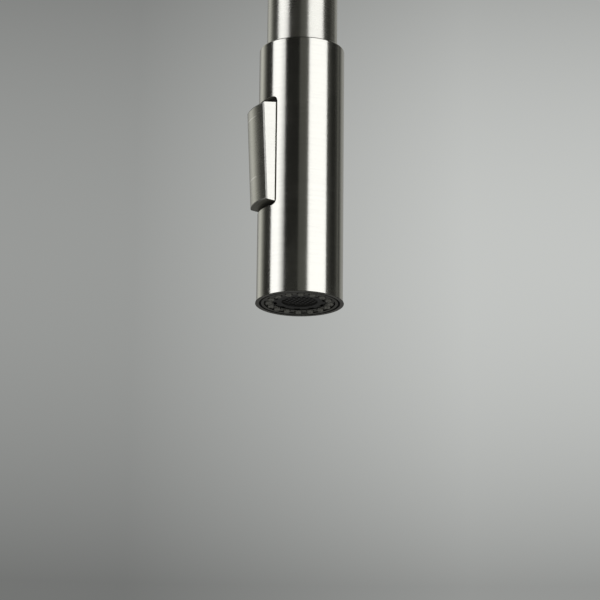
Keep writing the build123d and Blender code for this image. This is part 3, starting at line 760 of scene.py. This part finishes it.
def soft_box(name, turn, width, radiance, bright, dark, spread, lower, upper):
    """A tall soft box a metre away that faces the object. Its light fades across it from bright to dark,
    both shares of its width. Between two shares of its height, lower and upper, the bright end moves on by
    spread and the dark end back by a third of it."""
    tall, middle, whitish = 1.4, 0.2, (1, 1, 1.12, 1)
    lamp = bpy.data.lights.new(name, "AREA")
    lamp.shape, lamp.size, lamp.size_y = "RECTANGLE", width, tall
    lamp.energy = radiance * pi * width * tall
    tree = Tree(lamp)
    spot = tree.add("NewGeometry", out=5)
    across, upwards = (tree.add("SeparateXYZ", {}, {0: spot}, out=n) for n in (0, 1))
    lift = upwards.ramped(lower, upper)
    fade = across.ramped(lift * spread + bright, dark - lift * spread * 0.33)
    light = tree.add("Emission", {}, {"Color": whitish, "Strength": 1 - fade})
    tree.add("OutputLight", {}, {"Surface": light})
    stand = bpy.data.objects.new(name, lamp)
    way = Vector((sin(radians(turn)), -cos(radians(turn)), 0))
    stand.matrix_world = Matrix.Translation(way + Vector((0, 0, middle))) @ way.to_track_quat(
        "Z", "Y").to_matrix().to_4x4()
    bpy.context.scene.collection.objects.link(stand)
    stand.visible_camera = False


soft_box("soft_box_left", 4.0, 0.85, 1.62, 0.44, 0.985, 0.38, 0.53, 0.65)
soft_box("soft_box_right", 110.3, 1.04, 1.52, 0.19, -0.03, -0.08, 0.45, 0.56)

world = bpy.data.worlds.new("studio")
bpy.context.scene.world = world
tree = Tree(world)
way = tree.add("TexCoord")
x, y, z = (tree.add("SeparateXYZ", {}, {0: way}, out=n) for n in range(3))
turn = tree.add("Math", {"operation": "ARCTAN2"}, {0: x, 1: y * -1}) / (2 * pi) + 0.5
height = tree.add("Math", {"operation": "ARCSINE"}, {0: z}) / pi + 0.5
# what the steel mirrors: cards round about, by their direction in degrees from the rocker's side
cards = tree.add("ValToRGB", {"stops": [(0.5 + degrees / 360, tone) for degrees, tone in (
    (-180, 0.08), (-175.5, 0.16), (-170, 0.02), (-163, 0.12), (-155, 0.31), (-145, 0.34), (-130, 0.36),
    (-115, 0.30), (-98, 0.22), (-88, 0.36), (-78, 0.60), (-69, 0.68), (-63, 0.52), (-54, 0.24), (-47, 0.08),
    (-41, 0.022), (-22, 0.022), (15, 0.03), (24, 0.006), (59, 0.006), (60.5, 0.075), (65, 0.09),
    (76, 0.092), (86, 0.12), (134, 0.12), (141, 0.08), (148, 0.045), (156, 0.018), (168, 0.014),
    (174, 0.04))]}, {0: turn})
# what the camera sees behind the head: a grey wall, paler towards the floor and darker towards the left. The
# glow across it is brightest glow_up degrees up and loses glow_loss of its tone for each square degree off
glow_up, glow_tone, glow_loss = 17.65, 0.435, 0.0046
fade_start, fade_end, fade_from, fade_to = -118, -111, 1.266, 0.734
wall_tint = (0.99, 1.012, 0.985, 1)
wall = tree.add("ValToRGB", {"stops": [(0.0, 0.40), (0.54, 0.30), (0.56, 0.235)]}, {0: height})
off = (height - 0.5) * 180 - glow_up
lit = tree.add("Math", {"operation": "MAXIMUM"}, {0: wall, 1: glow_tone - off * off * glow_loss})
side = tree.add("MapRange", {}, {"Value": (turn - 0.5) * 360, "From Min": fade_start, "From Max": fade_end,
                                 "To Min": fade_from, "To Max": fade_to})
backdrop = tree.tinted(lit * side, wall_tint)
over_floor, over_cards = height.ramped(0.50, 0.57), height.ramped(0.74, 0.80)
floor_grey, ceiling, low_room, room = ((tone, tone, tone, 1) for tone in (0.13, 0.01, 0.2, 0.4))
cards = tree.mixed(over_cards, tree.mixed(over_floor, floor_grey, cards), ceiling)
# matt surfaces are lit by a plain grey room, whatever the cards do
seen, glossy = tree.add("LightPath"), tree.add("LightPath", out=3)
shade = tree.mixed(glossy, tree.mixed(over_floor, low_room, room), cards)
shade = tree.mixed(seen, shade, backdrop)
tree.add("OutputWorld", {}, {"Surface": tree.add("Background", {}, {"Color": shade})})

floor_height, floor_rounds = -1.5, (0.4, 1.2, 3.2)
mesh = bmesh.new()
floor_rings = [ring(mesh, radius, floor_height, 96) for radius in floor_rounds]
mesh.faces.new(floor_rings[0])
for first, second in zip(floor_rings, floor_rings[1:]):
    band(mesh, first, second)
data = bpy.data.meshes.new("floor")
mesh.to_mesh(data)
mesh.free()
floor = bpy.data.objects.new("floor", data)
bpy.context.scene.collection.objects.link(floor)
paint = bpy.data.materials.new("pale_floor")
tree = Tree(paint)
spot = tree.add("TexCoord", out=3)
flat_spot = tree.add("VectorMath", {"operation": "MULTIPLY"}, {0: spot, 1: (1, 1, 0)})
reach = tree.add("VectorMath", {"operation": "LENGTH"}, {0: flat_spot}, out=1)
tree.surface(Base_Color=(0.62, 0.62, 0.62, 1), Roughness=0.8, Alpha=1 - reach.ramped(1.4, 3.0))
floor.data.materials.append(paint)

bpy.context.scene.view_settings.view_transform = "Standard"
